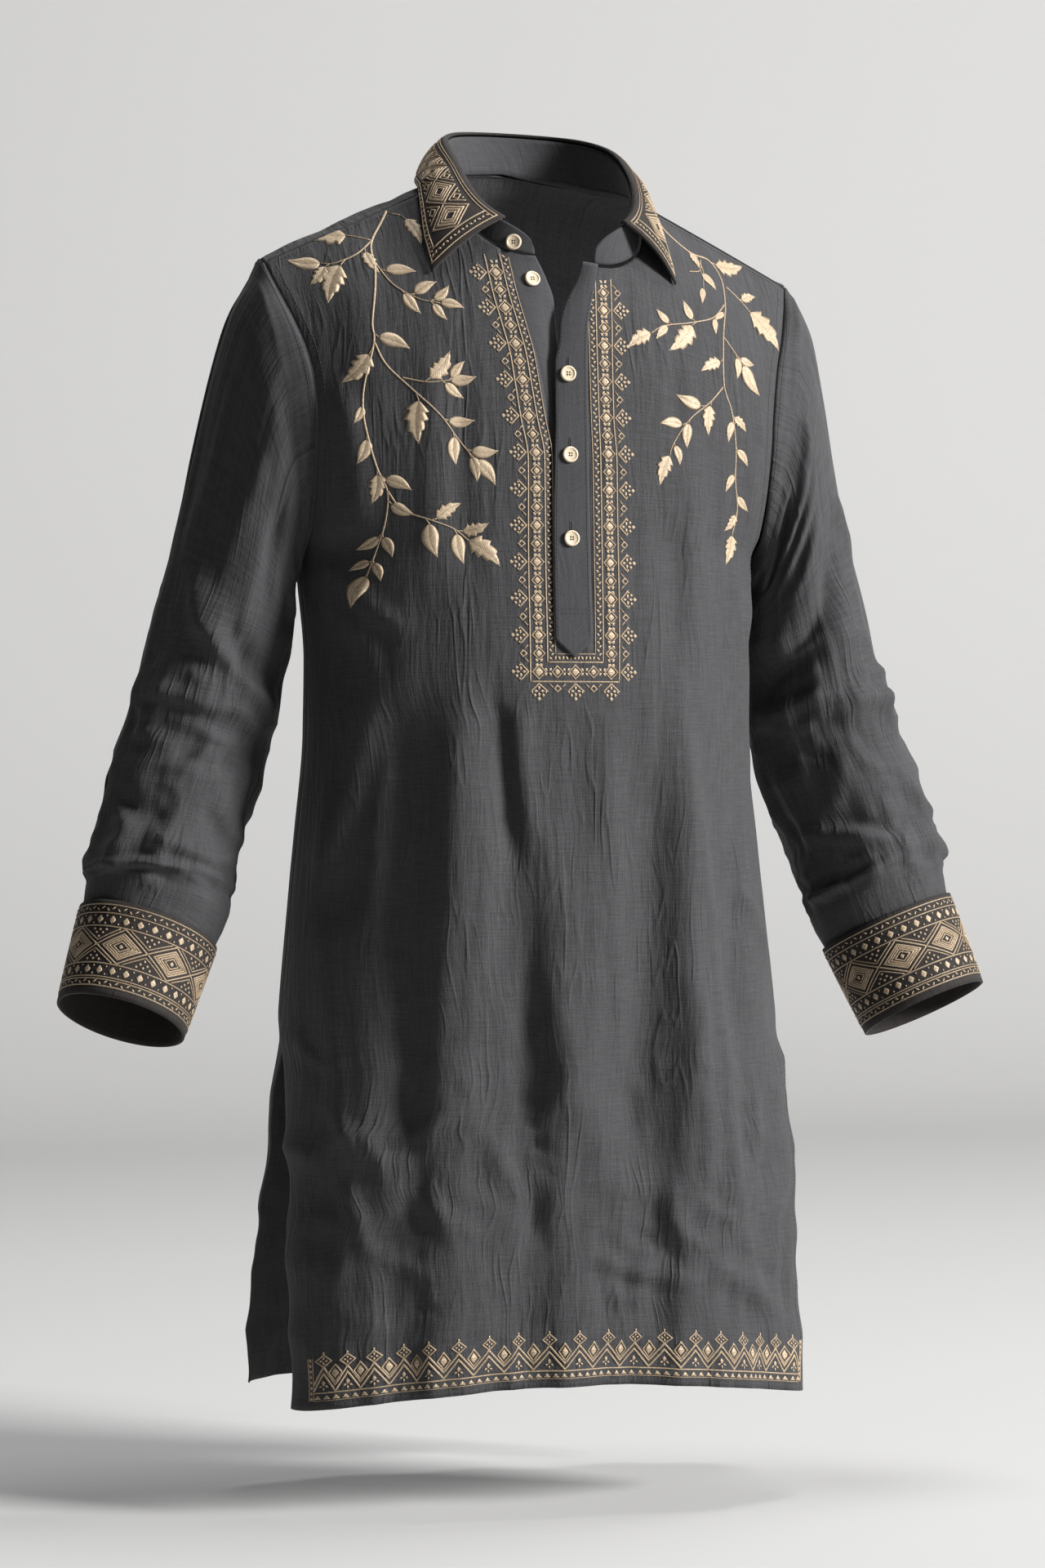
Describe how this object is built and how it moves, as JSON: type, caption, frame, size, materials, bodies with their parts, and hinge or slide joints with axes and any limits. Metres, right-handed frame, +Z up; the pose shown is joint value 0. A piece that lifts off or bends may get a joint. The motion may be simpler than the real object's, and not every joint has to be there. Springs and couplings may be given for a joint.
{
  "type": "kurta tunic",
  "caption": "Knee-length cloth tunic with long cuffed sleeves, pointed shirt collar, half placket and side slits, hanging open and hollow in its worn shape",
  "frame": {"origin": "between the shoulders, on the line through both sides of the neck, midway between left and right shoulder tips: where the wearer's shoulders hold the garment up", "axes": "+X to the wearer's left, -Y to the front, +Z up"},
  "size_m": [0.7696, 0.278, 1.0239],
  "materials": {
    "charcoal_cloth": "crinkled plain-weave cotton, matte",
    "embroidered_cloth": "the same cloth, covered with gold thread embroidery",
    "gold_thread": "pale gold satin-stitch thread, soft sheen",
    "cream_shell": "cream shell-like buttons, satin gloss"
  },
  "bodies": {
    "root": {"front": "charcoal_cloth", "back": "charcoal_cloth", "sleeve_left": "charcoal_cloth", "sleeve_right": "charcoal_cloth", "placket_overlap": "charcoal_cloth", "placket_underlap": "charcoal_cloth", "collar_stand": "charcoal_cloth", "cuff_left": "embroidered_cloth", "cuff_right": "embroidered_cloth", "collar_leaf": "embroidered_cloth", "button_1": "cream_shell", "button_2": "cream_shell", "button_3": "cream_shell", "button_4": "cream_shell", "button_5": "cream_shell"}
  },
  "joints": []
}
